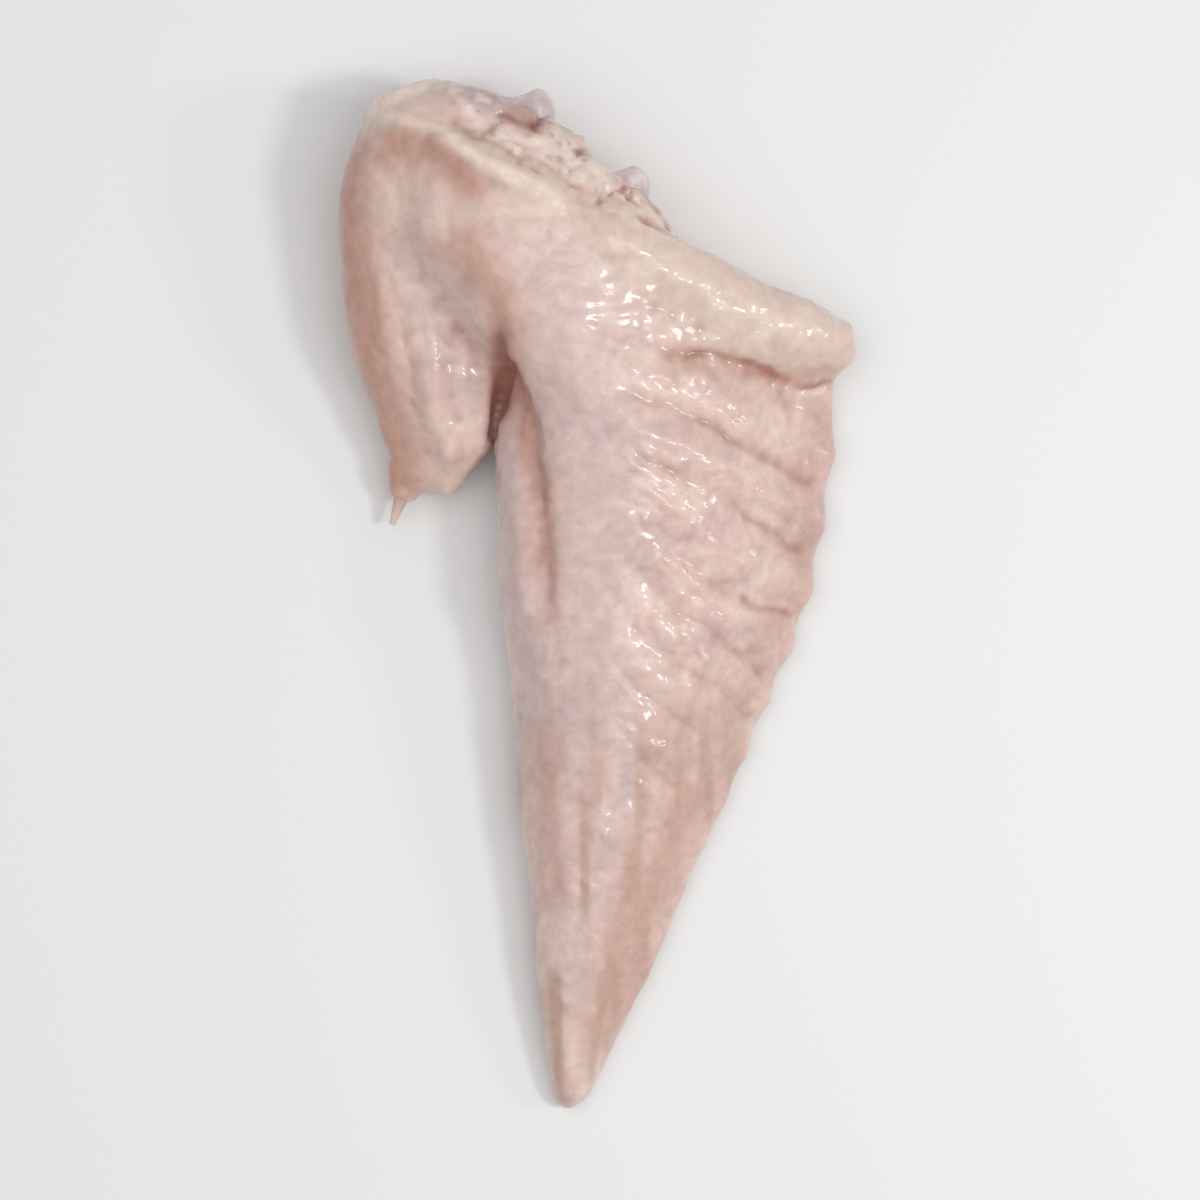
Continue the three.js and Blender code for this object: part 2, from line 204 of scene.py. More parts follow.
TOP_POINTS = 168
UNDER_POINTS = 72
HAND_RINGS = 260
TIP_RINGS = 16
hand_turn = np.concatenate([
    np.linspace(0, 1, TOP_POINTS, endpoint=False),
    np.linspace(1, 2, UNDER_POINTS, endpoint=False),
])[None, :]
tip_turn = np.linspace(0, np.pi / 2, TIP_RINGS, endpoint=False)
hand_share = np.concatenate([
    np.linspace(0, 1 - TIP_CAP, HAND_RINGS, endpoint=False),
    1 - TIP_CAP + TIP_CAP * np.sin(tip_turn),
])[:, None]
hand = hand_surface(hand_share, hand_turn)
print("hand:", hand.shape[:2], "points, height", hand[..., 2].max().round(1), "mm")

# %% [markdown]
# ## The cut face
# The knife went through the wrist joint, so the end of the hand is raw: the joint swells out, and the
# skin has drawn back round it. The face could be a cap of the loft. As rings that shrink from the rim
# of skin to its middle, it can swell and step back as it goes in.

# %% The cut face
FACE_SCALES = np.linspace(0.04, 0.985, 24)[:, None]
SWELL = 3.8
SWELL_MIDDLE = -0.17 * WIDTH
SWELL_SPREAD = 0.2 * WIDTH
RIM_STEP = 1.0
RIM_STEP_AT = (0.85, 0.09)  # middle and spread of the step, in scales of the rim


def cut_face(rim, scale):
    """The rim drawn in towards its middle by a scale, then moved out of the cut: a bell about the
    joint times 1 - scale cubed, less a bell just inside the rim, the step behind the skin's edge."""
    middle = rim.mean(axis=0)
    face = middle + (rim - middle) * scale[..., None]
    swell = SWELL * bell(face[..., 0], SWELL_MIDDLE, SWELL_SPREAD) * (1 - scale**3)
    step = RIM_STEP * bell(scale, *RIM_STEP_AT)
    face[..., :2] += (swell - step)[..., None] * CUT_OUTWARD
    return face


face = cut_face(hand[0], FACE_SCALES)
hand_and_face = np.concatenate([face, hand])
print("cut face:", np.ptp(face.reshape(-1, 3), axis=0).round(1), "mm")

# %% [markdown]
# ## The thumb, the hem and the joint
# The thumb is a flat lobe from the shoulder of the wrist to a blunt end, where a narrow cuff of skin
# holds the claw. The hem is the cut edge of the upper skin, a thin lip that widens into a rolled fold.
# Below the lip lies the joint, a bulge of gristle under a clear membrane. A bevelled curve in Blender
# could only scale one section, so one function carries an oval section along a curve in plan, with its
# own width, top and under side.

# %% Bars along a curve
BAR_RINGS = 110
BAR_POINTS = 72
TANGENT_STEP = 1e-4


def bar_surface(stations):
    """A bar along a curve: from the curve's point, the half width times the cosine of the turn goes to
    the side, and the height goes from the under side to the top as the sine goes from -1 to 1."""
    share = np.linspace(0, 1, BAR_RINGS)[:, None]
    turn = np.linspace(0, 2, BAR_POINTS, endpoint=False)[None, :]
    line = stations[:, :2]
    half_width, top, under = stations[:, 2:].T
    way = along(line, share + TANGENT_STEP) - along(line, share - TANGENT_STEP)
    way /= norm(way, axis=-1, keepdims=True)
    sideways = np.stack([-way[..., 1], way[..., 0]], axis=-1)
    reach = along(half_width, share) * np.cos(np.pi * turn)
    plan = along(line, share) + reach[..., None] * sideways
    low = along(under, share)
    z = low + (along(top, share) - low) * (np.sin(np.pi * turn) + 1) / 2
    return np.concatenate([plan, np.maximum(z, 0)[..., None]], axis=-1)


print("bars:", BAR_RINGS, "rings of", BAR_POINTS, "points")

# %% The thumb and the cuff of skin round the claw
SHARES = np.array([WIDTH, LENGTH, 1, WRIST_HEIGHT, WRIST_HEIGHT])
THUMB = SHARES * [  # each row is a place in plan, a half width in millimetres, the top and the under side
    [-0.3, 0.492, 1.0, 0.6, 0.36],
    [-0.316, 0.462, 5.2, 0.86, 0.14],
    [-0.328, 0.4, 7.7, 0.87, 0.04],
    [-0.331, 0.33, 7.8, 0.78, 0],
    [-0.337, 0.26, 6.8, 0.68, 0.03],
    [-0.311, 0.195, 5.8, 0.58, 0.06],
    [-0.317, 0.14, 4.5, 0.46, 0.07],
    [-0.34, 0.108, 2.0, 0.26, 0.15],
]
CUFF = np.array([WIDTH, LENGTH, 1, 1, 1]) * [  # its heights are in millimetres too
    [-0.345, 0.155, 2.4, 4.9, 1.2],
    [-0.362, 0.128, 2.0, 4.6, 1.3],
    [-0.374, 0.111, 1.6, 4.2, 1.5],
    [-0.384, 0.098, 1.05, 3.6, 1.8],
]
thumb = bar_surface(THUMB)
cuff = bar_surface(CUFF)
print("thumb:", np.ptp(thumb.reshape(-1, 3), axis=0).round(1), "mm")

# %% The hem and the joint
HEM = SHARES * [
    [-0.41, 0.435, 0.5, 0.82, 0.74],
    [-0.272, 0.43, 0.9, 1.0, 0.86],
    [-0.14, 0.393, 1.1, 1.02, 0.84],
    [0.03, 0.341, 2.4, 0.93, 0.66],
    [0.2, 0.286, 4.0, 0.76, 0.36],
    [0.35, 0.254, 4.0, 0.57, 0.12],
    [0.445, 0.246, 3.3, 0.47, 0.06],
    [0.495, 0.252, 1.9, 0.35, 0.14],
]
JOINT = SHARES * [
    [-0.36, 0.462, 1.2, 0.66, 0.4],
    [-0.27, 0.468, 2.6, 0.86, 0.3],
    [-0.175, 0.452, 2.9, 0.9, 0.28],
    [-0.065, 0.412, 2.8, 0.84, 0.26],
    [0.065, 0.372, 1.9, 0.74, 0.26],
    [0.17, 0.325, 0.8, 0.55, 0.35],
]
hem = bar_surface(HEM)
joint = bar_surface(JOINT)
print("hem:", np.ptp(hem.reshape(-1, 3), axis=0).round(1), "mm")

# %% [markdown]
# ## One skin over all forms
# On the real wing tip the skin runs over hand, thumb and hem without a seam. A Boolean union would keep
# a hard edge where they meet. The Remesh modifier fills the forms with voxels and lays one even net of
# quads over them, and relaxing that net rounds the places where they meet, most of all at the root of
# the thumb.

# %% One skin over all forms
SKIN_VOXEL = 0.285


def closed_form(grid):
    """Corners, quads and triangles of a form made of rings: quads between neighbouring rings, and at
    each end a fan of triangles to the middle of the last ring."""
    rings, points = grid.shape[:2]
    index = np.arange(rings * points).reshape(rings, points)
    beside = np.roll(index, -1, axis=1)
    quads = np.stack([index[:-1], beside[:-1], beside[1:], index[1:]], axis=-1).reshape(-1, 4)
    start_fan = np.stack([beside[0], index[0], np.full(points, rings * points)], axis=-1)
    end_fan = np.stack([index[-1], beside[-1], np.full(points, rings * points + 1)], axis=-1)
    corners = np.concatenate([grid.reshape(-1, 3), grid[[0, -1]].mean(axis=1)])
    return corners, quads, np.concatenate([start_fan, end_fan])


def joined(grids):
    """One mesh's corners and faces from several forms, each counted on from the corners before it."""
    corners = []
    faces = []
    count = 0
    for form_corners, quads, triangles in map(closed_form, grids):
        corners.append(form_corners)
        faces += (quads + count).tolist() + (triangles + count).tolist()
        count += len(form_corners)
    return np.concatenate(corners), faces


def placed(name, data):
    """A new object of the scene, with its data."""
    made = bpy.data.objects.new(name, data)
    bpy.context.scene.collection.objects.link(made)
    return made


def new_object(name, corners, faces):
    """A mesh object at the origin, with its place in its mesh."""
    mesh = bpy.data.meshes.new(name)
    mesh.from_pydata(corners, [], faces)
    return placed(name, mesh)


forms = [hand_and_face, thumb, cuff, hem, joint]
skin = new_object("wing_skin", *joined(forms))
remesh = skin.modifiers.new("one_skin", "REMESH")
remesh.mode = "VOXEL"
remesh.voxel_size = SKIN_VOXEL
depsgraph = bpy.context.evaluated_depsgraph_get()
one_skin = bpy.data.meshes.new_from_object(skin.evaluated_get(depsgraph))
skin.modifiers.clear()
skin.data = one_skin
print("skin:", len(skin.data.vertices), "points,", len(skin.data.polygons), "faces")

# %% Distances in plan
def from_line(places, line):
    """Shortest distance in plan to a line of straight stretches: to the foot of the perpendicular on
    each stretch, held between its ends, and the least of these."""
    line = np.asarray(line, float)
    least = np.full(len(places), np.inf)
    for start, end in zip(line[:-1], line[1:]):
        way = end - start
        foot = np.clip((places - start) @ way / (way @ way), 0, 1)
        least = np.minimum(least, norm(places - start - foot[:, None] * way, axis=1))
    return least


def turned(offset, angle):
    """An offset in plan, as its distances along an angle and across it."""
    way = np.array([np.cos(angle), np.sin(angle)])
    return offset @ way, offset @ [-way[1], way[0]]


def near(places, line, spread):
    """1 on a line in plan, and beside it a bell of the distance."""
    return bell(from_line(places, line), 0, spread)


print("a spread away from a line:", near(np.array([[0, 2]]), [[-1, 0], [1, 0]], 2.0).round(2))

# %% Relaxing the net
ROUNDED = [
    ([[-12.5, 33], [-10.5, 28]], 6.0),  # the root of the thumb
    ([[-10.5, 28], [-9.2, 23]], 3.6),  # the valley between the thumb and the hand
    ([[-17, 37], [-9, 34.5], [-1, 28.5], [5, 24.5], [11, 22.5]], 2.4),  # under lip and hem
    ([[11, 22], [15, 20.3], [19, 19.6], [21.5, 19.8]], 2.2),  # under the fat end of the hem
    ([[-18, 41], [-13.5, 42], [-11, 40.6]], 2.2),  # the shoulder, from thumb to joint
    ([[-13.5, 41.5], [-8, 38.8], [-3, 35.8], [1.5, 33.2]], 1.5),  # between the lip and the joint
]
SMOOTHING = 0.5
SMOOTHING_TIMES = 8
ROUNDING = 0.6
ROUNDING_TIMES = 90


def array_of(items, field, width, kind=np.float32):
    """One field of all items of a mesh, as rows of the given width."""
    values = np.empty(len(items) * width, kind)
    items.foreach_get(field, values)
    return values.reshape(-1, width)


def relaxed(values, edges, weight, times):
    """Each row moves a share of the way to the mean of its neighbours, and this is done several times."""
    count = np.bincount(edges.ravel(), minlength=len(values))[:, None]
    for _ in range(times):
        total = np.zeros_like(values)
        for column in range(values.shape[1]):
            from_second = np.bincount(edges[:, 0], values[edges[:, 1], column], len(values))
            from_first = np.bincount(edges[:, 1], values[edges[:, 0], column], len(values))
            total[:, column] = from_second + from_first
        values = values + weight * (total / count - values)
    return values


skin_edges = array_of(skin.data.edges, "vertices", 2, np.int32)
net = array_of(skin.data.vertices, "co", 3).astype(float)
net = relaxed(net, skin_edges, SMOOTHING, SMOOTHING_TIMES)
rounding = np.max([near(net[:, :2], line, reach) for line, reach in ROUNDED], axis=0)
net = relaxed(net, skin_edges, ROUNDING * rounding[:, None], ROUNDING_TIMES)
print("relaxed to", np.ptp(net, axis=0).round(2), "mm")

# %% [markdown]
# ## Noise
# Nothing on raw meat is even: heights, borders and colours all vary. Blender's noise textures would do
# for a material, but here the same noise also has to move points and fray masks, so it is a small
# function on arrays. Its seeds are fixed, so each run gives the same numbers.

# %% Noise
NOISE_TABLE = 24


def noise(points, grain, seed):
    """Smooth noise from -1 to 1: random numbers at the corners of boxes of the grain's size, blended
    between the corners with the weight w*w*(3 - 2w) along each axis."""
    table = np.random.default_rng(seed).uniform(-1, 1, (NOISE_TABLE,) * 3)
    place = points / grain
    cell = np.floor(place).astype(int)
    w = place - cell
    w = w * w * (3 - 2 * w)
    total = np.zeros(len(points))
    for corner in np.ndindex(2, 2, 2):
        share = np.where(corner, w, 1 - w).prod(axis=1)
        total += share * table[tuple(((cell + corner) % NOISE_TABLE).T)]
    return total


def layered(*layers):
    """Sum of noises over the net. Each layer has a height, a grain and a seed, and a grain of three
    numbers is stretched along the axes."""
    return sum(height * noise(net, np.array(grain), seed) for height, grain, seed in layers)


def frayed(places, grain, reach, seed):
    """The net's places moved along each axis by noise of a grain, by up to the reach, so that borders
    drawn from them are ragged."""
    moves = [noise(net, grain, seed + axis) for axis in range(places.shape[1])]
    return places + reach * np.stack(moves, axis=1)


print("frayed by 1 mm, the first point moves by", (frayed(net, 2.0, 1.0, 1) - net)[0].round(2), "mm")

# %% [markdown]
# ## Which form a point came from
# Fat, thumb skin and raw meat need their own relief and colour, but the remesh keeps no memory of which
# form a point came from. The distance to each form's own grid tells it, and a soft step turns the
# distance into a mask from 0 to 1, with a border that noise frays.

# %% Which form a point came from
HEM_BORDER = (0.9, 0.3)  # distances where the mask starts and where it is full
THUMB_BORDER = (1.2, 0.35)
CUT_BORDER = (1.0, 0.4)
BORDER_FRAY = 0.35
PARTS = 80  # the points are taken in parts, to save memory


def distance_to(points, cloud):
    """Shortest distance from each point to a cloud of points, by the square of a sum: aa + bb - 2ab."""
    cloud = cloud.reshape(-1, 3)
    squares = (cloud**2).sum(axis=1)
    nearest = [
        (squares - 2 * part @ cloud.T).min(axis=1) + (part**2).sum(axis=1)
        for part in np.array_split(points, PARTS)
    ]
    return np.sqrt(np.maximum(np.concatenate(nearest), 0))


fray = layered((BORDER_FRAY, 1.7, 58))
on_hem = ramp(distance_to(net, hem) + fray, *HEM_BORDER)
on_thumb = ramp(distance_to(net, thumb), *THUMB_BORDER)
from_cut = np.minimum(distance_to(net, face), distance_to(net, joint))
on_cut = ramp(from_cut + fray, *CUT_BORDER) * (1 - on_hem) * (1 - on_thumb)
for name, mask in (("hem", on_hem), ("thumb", on_thumb), ("cut", on_cut)):
    print(name, "takes", mask.mean().round(3), "of the skin")

# %% [markdown]
# ## Relief of the skin
# Raw skin is lumpy over fat and muscle, folded at the thumb, and on the web it has soft ridges with a
# small bump at each feather socket. Displacement in a material would be lost outside Blender, so the net
# itself is moved along its normals, by heights in millimetres. Each is a function of the place, and
# many fade in and out between two places across or down.

# %% Normals
def normals_of(mesh, points):
    """Puts the points into the mesh and reads its normals back."""
    mesh.vertices.foreach_set("co", points.astype(np.float32).ravel())
    mesh.update()
    return array_of(mesh.vertex_normals, "vector", 3).astype(float)


normals = normals_of(skin.data, net)
plan = net[:, :2]
x, y = plan.T
facing_up = ramp(normals[:, 2], -0.1, 0.5)
print("share that faces up:", facing_up.mean().round(2))

# %% Ridges
RIDGE_HEIGHT = 0.7
RIDGE_HOOK = 2.2  # how much each ridge turns up where it meets the crest
HOOK_LENGTH = 4.0
FINE_LINE_HEIGHT = 0.1
FINE_LINE_PITCH = 1.7
CREST_DOWN = [-45, -20, 0, 25, 40]
CREST_ACROSS = [-2.5, -1.5, -1, -3, -8]
web_edge = along(TRAILING_EDGE, np.linspace(0, 1, 200))[::-1]


def edge_at(down):
    """How far across the web's edge is, at a place down the hand."""
    return np.interp(down, web_edge[:, 1], web_edge[:, 0])


crest_x = np.interp(y, CREST_DOWN, CREST_ACROSS)
web = np.clip((x - crest_x) / np.maximum(edge_at(y) - crest_x, 1), 0, 1.2)
on_web = ramp(y, -26, -6) * ramp(y, 24, 17) * facing_up * (1 - on_hem)
phase = ridge_phase(x, y) - RIDGE_HOOK * np.exp(-np.maximum(x, 0) / HOOK_LENGTH)
phase += layered((1.0, 9.0, 11), (0.35, 3.0, 13))
rounded_tops = np.sqrt(np.cos(np.pi * phase / RIDGE_PITCH) ** 2 + 0.05) - 0.66
ridges = RIDGE_HEIGHT * rounded_tops * (0.75 + layered((0.45, 7.0, 12)))
ridges *= 0.8 + 0.2 * ramp(y, -12, 10)
fine_phase = phase + layered((0.5, 2.0, 15))
fine_lines = FINE_LINE_HEIGHT * np.sin(2 * np.pi * fine_phase / FINE_LINE_PITCH)
ridges += fine_lines * ramp(noise(net, 5.0, 16), -0.3, 0.5)
ridges *= ramp(web, 0.05, 0.4) * on_web
print("ridges from", ridges.min().round(2), "to", ridges.max().round(2), "mm")

# %% Feather sockets
SOCKET_HEIGHT = 0.13
SOCKET_ROWS = np.arange(0, -8, -1)
SOCKET_STEPS = np.arange(6.0, 21.5, 3.6)  # places across, along each ridge
LOWEST_SOCKET = -26
EDGE_MARGIN = 1.0


def on_ridge(ridge_x, row):
    """Height in plan of a ridge at a distance across: the ridge's phase solved for y."""
    hook = RIDGE_HOOK * np.exp(-ridge_x / HOOK_LENGTH)
    fan = 1 + RIDGE_FAN * ridge_x
    return RIDGE_TOP - RIDGE_SLOPE * ridge_x + (RIDGE_PITCH * row + hook) * fan


def raised(middles, lengths, widths, angles):
    """Sum of long bumps: each is a bell along a direction times a bell across it, by its own length,
    width and angle."""
    total = np.zeros(len(plan))
    for middle, length, width, angle in zip(middles, lengths, widths, angles):
        down, aside = turned(plan - middle, angle)
        total += bell(down, 0, length) * bell(aside, 0, width)
    return total


rng = np.random.default_rng(5)
row, step = np.reshape(np.meshgrid(SOCKET_ROWS, SOCKET_STEPS), (2, -1))
socket_x = step + rng.uniform(-1.2, 1.2, len(step))
socket_y = on_ridge(socket_x, row) + rng.uniform(-0.8, 0.8, len(row))
inside = (socket_x < edge_at(socket_y) - EDGE_MARGIN) & (socket_y > LOWEST_SOCKET)
sockets = np.stack([socket_x, socket_y], axis=1)[inside]
socket_size = rng.uniform(0.35, 0.7, len(sockets))
bumps = SOCKET_HEIGHT * raised(sockets, socket_size, socket_size, np.zeros(len(sockets)))
print(len(sockets), "feather sockets")

# %% Welts
WELT_HEIGHT = 0.3
WELTS_EACH = 4
WELT_SCATTER = 0.9
CREST_ROW = [
    [4, 18.5], [3.4, 12.5], [4.8, 7], [5.2, 2], [6.2, -4.4], [3.6, -13], [1.3, -20.6], [-0.8, -25],
    [-2.4, -34],
]
WEB_ROW = [[8.2, 19.4], [13.5, 14.4], [16.8, 12], [15.3, 8.4], [13.9, 4.5], [12.5, 0.4], [11.4, -4]]
welts = np.repeat(CREST_ROW + WEB_ROW, WELTS_EACH, axis=0)
welts = welts + rng.normal(0, WELT_SCATTER, welts.shape)
welt_length = rng.uniform(0.5, 1.6, len(welts))
welt_width = rng.uniform(0.28, 0.5, len(welts))
welt_angle = rng.normal(-0.8, 0.25, len(welts))
uneven = 0.5 + layered((0.5, 1.5, 14))
bumps += WELT_HEIGHT * raised(welts, welt_length, welt_width, welt_angle) * uneven
bumps *= facing_up * (1 - on_hem)
print(len(welts), "welts, up to", bumps.max().round(2), "mm high")

# %% Folds of the thumb
THUMB_CREASES = [
    [[-20.6, 30], [-19.6, 22], [-17.4, 13]],
    [[-18.6, 31], [-17.4, 24], [-15.4, 15], [-14.6, 10]],
    [[-14.2, 23], [-13, 18], [-12, 13]],
    [[-16.2, 17], [-13.6, 11]],
]
THUMB_CREASE_DEPTH = 0.22
THUMB_CREASE_SPREAD = 0.65
ragged = frayed(frayed(plan, 3.0, 0.5, 22), 1.1, 0.35, 26)
creases = np.max([near(ragged, line, THUMB_CREASE_SPREAD) for line in THUMB_CREASES], axis=0)
folds = layered((0.4, [2.4, 9.0, 9.0], 24), (0.2, [1.2, 6.0, 6.0], 28)) - THUMB_CREASE_DEPTH * creases
folds *= ramp(y, 34, 22) * on_thumb * (0.3 + 0.7 * facing_up)
folds += layered((0.6, 2.2, 25)) * ramp(y, 16, 11) * on_thumb
print("thumb folds from", folds.min().round(2), "to", folds.max().round(2), "mm")

# %% Slit and groove beside the thumb
SLIT_LINE = [[-9.3, 26], [-8.8, 22], [-8.6, 19.5], [-8.8, 17], [-9.2, 14.5]]
SLIT_DEPTH = 1.2
SLIT_SPREAD = 0.5
GROOVE_LINE = [
    [-7.8, 19.5], [-6.5, 16.2], [-6, 12.4], [-5.2, 8.7], [-4.7, 4.2], [-4.2, -2], [-3.8, -8],
]
GROOVE_DEPTH = 0.65
GROOVE_SPREAD = 0.75
STRIP_LINE = [[-8.5, 15], [-8, 10.6], [-7.4, 6.9], [-6.9, 3.3], [-6.2, -1]]
STRIP_HEIGHT = 0.7
STRIP_SPREAD = 1.2
slit = SLIT_DEPTH * near(plan, SLIT_LINE, SLIT_SPREAD) * ramp(y, 25, 19) * facing_up
groove = GROOVE_DEPTH * near(ragged, GROOVE_LINE, GROOVE_SPREAD) * ramp(y, -8, 12) * facing_up
strip = STRIP_HEIGHT * near(plan, STRIP_LINE, STRIP_SPREAD)
print("slit", slit.max().round(2), "groove", groove.max().round(2), "strip", strip.max().round(2), "mm")

# %% Edges of the cut skin
LIP_LINE = [
    [-19, 42.3], [-15.6, 40.9], [-13.4, 40.1], [-11.4, 38.8], [-8.8, 37.3], [-6.3, 35.6], [-3.7, 34],
]
LIP_HEIGHT = 0.35
SHOULDER_EDGE = [[-20.5, 42.3], [-17.5, 43.5], [-16, 44.2], [-14.3, 45.3], [-12.1, 46.2]]
SHOULDER_HEIGHT = 0.5
MEMBRANE_EDGE = [[-5.5, 44.9], [-3.3, 42.2], [-1.7, 40.6], [-1, 38.4], [0.3, 36.2]]
MEMBRANE_HEIGHT = 0.35
HEM_CREASE = [[2.5, 22.9], [5.3, 21.4], [10.3, 21.2], [13.9, 20], [17.6, 18.7], [20.8, 19.4]]
HEM_CREASE_DEPTH = 0.35
lip = LIP_HEIGHT * near(plan, LIP_LINE, 1.0) * ramp(x, -3.5, -9) * facing_up
lip += SHOULDER_HEIGHT * near(ragged, SHOULDER_EDGE, 0.4)
lip += MEMBRANE_HEIGHT * near(ragged, MEMBRANE_EDGE, 0.35) * on_cut
hem_crease = HEM_CREASE_DEPTH * near(ragged, HEM_CREASE, 0.7) * facing_up
hem_crease *= ramp(x, 2, 10) * ramp(x, 19, 15)
print("lip up to", lip.max().round(2), "mm, crease under the hem", hem_crease.max().round(2), "mm")

# %% [markdown]
# ## The torn joint
# At the cut the joint is torn more than sliced. Two bones end in it, a clear membrane with a small nick
# lies over pearly gristle, and crumbs of fat hang on below the lip. It could be sculpted by hand. Here
# each has a place or a line in plan, so its relief and its colour stay together.

# %% Where the bones are
def at(across, down, high):
    """A place from shares of the width, the length and the wrist's height."""
    return np.array([across * WIDTH, down * LENGTH, high * WRIST_HEIGHT])


BONES = [  # radius of the knob and of the shaft, the middle of the end, and where the shaft stops
    ("wrist_bone_major", 3.9, 2.1, at(-0.175, 0.482, 0.54), at(-0.03, 0.06, 0.4)),
    ("wrist_bone_minor", 2.9, 1.4, at(0.025, 0.412, 0.48), at(0.11, 0.1, 0.3)),
]
DRAWN_BACK = 1.5  # how far the flesh draws back round each end
sunk = np.max([bell(norm(net - end, axis=1), 0, knob) for _, knob, _, end, _ in BONES], axis=0)
print("the flesh draws back round the bones on", sunk.mean().round(3), "of the skin")

# %% Nick, gristle and crumbs of the torn joint
NICK = ([-6.3, 41.6], 2.2, 1.2, -0.15)  # middle, half length, half width and angle
NICK_EDGE = [[-8.4, 41.5], [-6.6, 40.6], [-5.5, 40.3], [-4.6, 41.3]]
PEARL = ([-9.2, 43.6], 3.0, 2.2, -0.3)  # clear gristle under the membrane
CRUMB_LINE = [[-8.6, 39.4], [-6, 39.2], [-4, 38.8], [-2.6, 37.4], [-1, 36], [2, 34.4]]
CRUMBS = 170
CRUMB_SCATTER = 0.85


def oval(middle, half_length, half_width, angle):
    """Distance from a middle in plan, in half lengths along an angle and in half widths across it."""
    down, aside = turned(frayed(ragged, 1.4, 0.5, 44) - middle, angle)
    return np.hypot(down / half_length, aside / half_width)


def cobbles(middles, radii):
    """The highest of many round lumps: each is half a ball over its own middle in plan."""
    highest = np.zeros(len(plan))
    for middle, radius in zip(middles, radii):
        square = ((plan - middle) ** 2).sum(axis=1)
        highest = np.maximum(highest, np.sqrt(np.maximum(radius**2 - square, 0)))
    return highest


nick_edge = near(ragged, NICK_EDGE, 0.5) * on_cut
nick = ramp(oval(*NICK), 1.3, 0.5) * on_cut
pearl = ramp(oval(*PEARL), 1.3, 0.6) * on_cut
crumb_middles = along(CRUMB_LINE, rng.uniform(0, 1, CRUMBS)) + rng.normal(0, CRUMB_SCATTER, (CRUMBS, 2))
crumb_lumps = cobbles(crumb_middles, rng.uniform(0.35, 0.85, CRUMBS))
crumbs = near(ragged, CRUMB_LINE, 1.6) * np.maximum(on_cut, 0.6 * on_hem) * (1 - nick)
print("nick", nick.mean().round(4), "pearl", pearl.mean().round(4), "crumbs", crumbs.mean().round(4))

# %% Relief of the torn joint
RIM_PLACE = [-1.7, 40.6]
RIM_SIDE = np.array([0.857, 0.515])  # across the joint's outer edge, away from the skin
past_rim = ramp((plan - RIM_PLACE) @ RIM_SIDE, 0.2, 1.6) * on_cut
upper = ramp(normals[:, 2], 0.0, 0.6)
bundles = layered((0.4, 2.6, 36), (0.12, 0.7, 38)) + 0.3 * (0.5 - np.abs(noise(net, 1.5, 37)))
torn = bundles * (1 - 0.3 * upper) * (1 - 0.7 * pearl) * (1 - 0.7 * crumbs) * on_cut
torn += 0.9 * (crumb_lumps - 0.3) * crumbs - 0.25 * nick - 0.4 * nick_edge
torn -= DRAWN_BACK * sunk * (1 - upper) * on_cut
print("torn joint from", torn.min().round(2), "to", torn.max().round(2), "mm")

# %% Lumps, fat and wrinkles
lumps = layered((0.3, 9.0, 31), (0.12, 3.4, 32))
streaks = layered((0.16, [1.6, 15.0, 4.0], 33), (0.09, [0.9, 9.0, 3.0], 39)) * ramp(y, 6, -14)
fat_grain = layered((0.35, 4.0, 40), (0.14, 1.7, 34), (0.06, 0.9, 35)) * on_hem
wrinkles = layered((0.06, 1.2, 41), (0.04, 0.65, 42))
relief = ridges + bumps + folds + lip + strip + torn + lumps + streaks + fat_grain + wrinkles
relief -= slit + groove + hem_crease
print("relief from", relief.min().round(2), "to", relief.max().round(2), "mm")

# %% The relief on the net
FLOOR_GAP = 0.03
SETTLING = 0.35
shaped = net + normals * relief[:, None]
shaped = relaxed(shaped, skin_edges, SETTLING, 1)
shaped[:, 2] = np.maximum(shaped[:, 2], FLOOR_GAP)
all_forms = np.concatenate([form.reshape(-1, 3) for form in forms])
own_middle = (all_forms.min(axis=0) + all_forms.max(axis=0)) / 2
TO_FRAME = np.append((SKIN_BOX.mean(axis=0) - own_middle)[:2], 0)
normals = normals_of(skin.data, (shaped + TO_FRAME) * MM)
print("moved to the frame by", TO_FRAME.round(2), "mm")

# %% [markdown]
# ## Where the skin is fat, flushed or clear, and where shade and light are painted
# One colour would look like rubber. Raw skin is cream over fat, brownish pink where flesh or blood shows
# through, and lavender grey where it is clear over bone. It could be painted by hand in Texture Paint.
# Here each colour is a few ragged strokes in plan, kept on the net as an attribute for the material.
# Some strokes are painted shade: reddish brown in creases and dips, in the slit, along the groove, under
# the hem, between the crumbs and along edges. Two are painted light on the thumb's shaded side.

# %% Strokes of colour
FAT_AND_LIGHT_STROKES = [  # each stroke has a line, a spread and a strength
    (LIP_LINE, 0.9, 0.7),
    (SHOULDER_EDGE, 1.2, 0.8),
    ([[-4, 35], [2, 31], [9.2, 26], [16, 23.3], [21.5, 23.5]], 4.0, 1.0),
    # painted light: the next two strokes lighten the thumb where it lies in shade
    ([[-17.6, 33], [-16.6, 28]], 2.6, 0.5),
    ([[-16.4, 17], [-14.6, 11]], 2.2, 0.6),
    ([[1, 24], [6, 15]], 5.0, 0.15),
    ([[-2, -26], [-2.6, -40]], 2.0, 0.35),
]
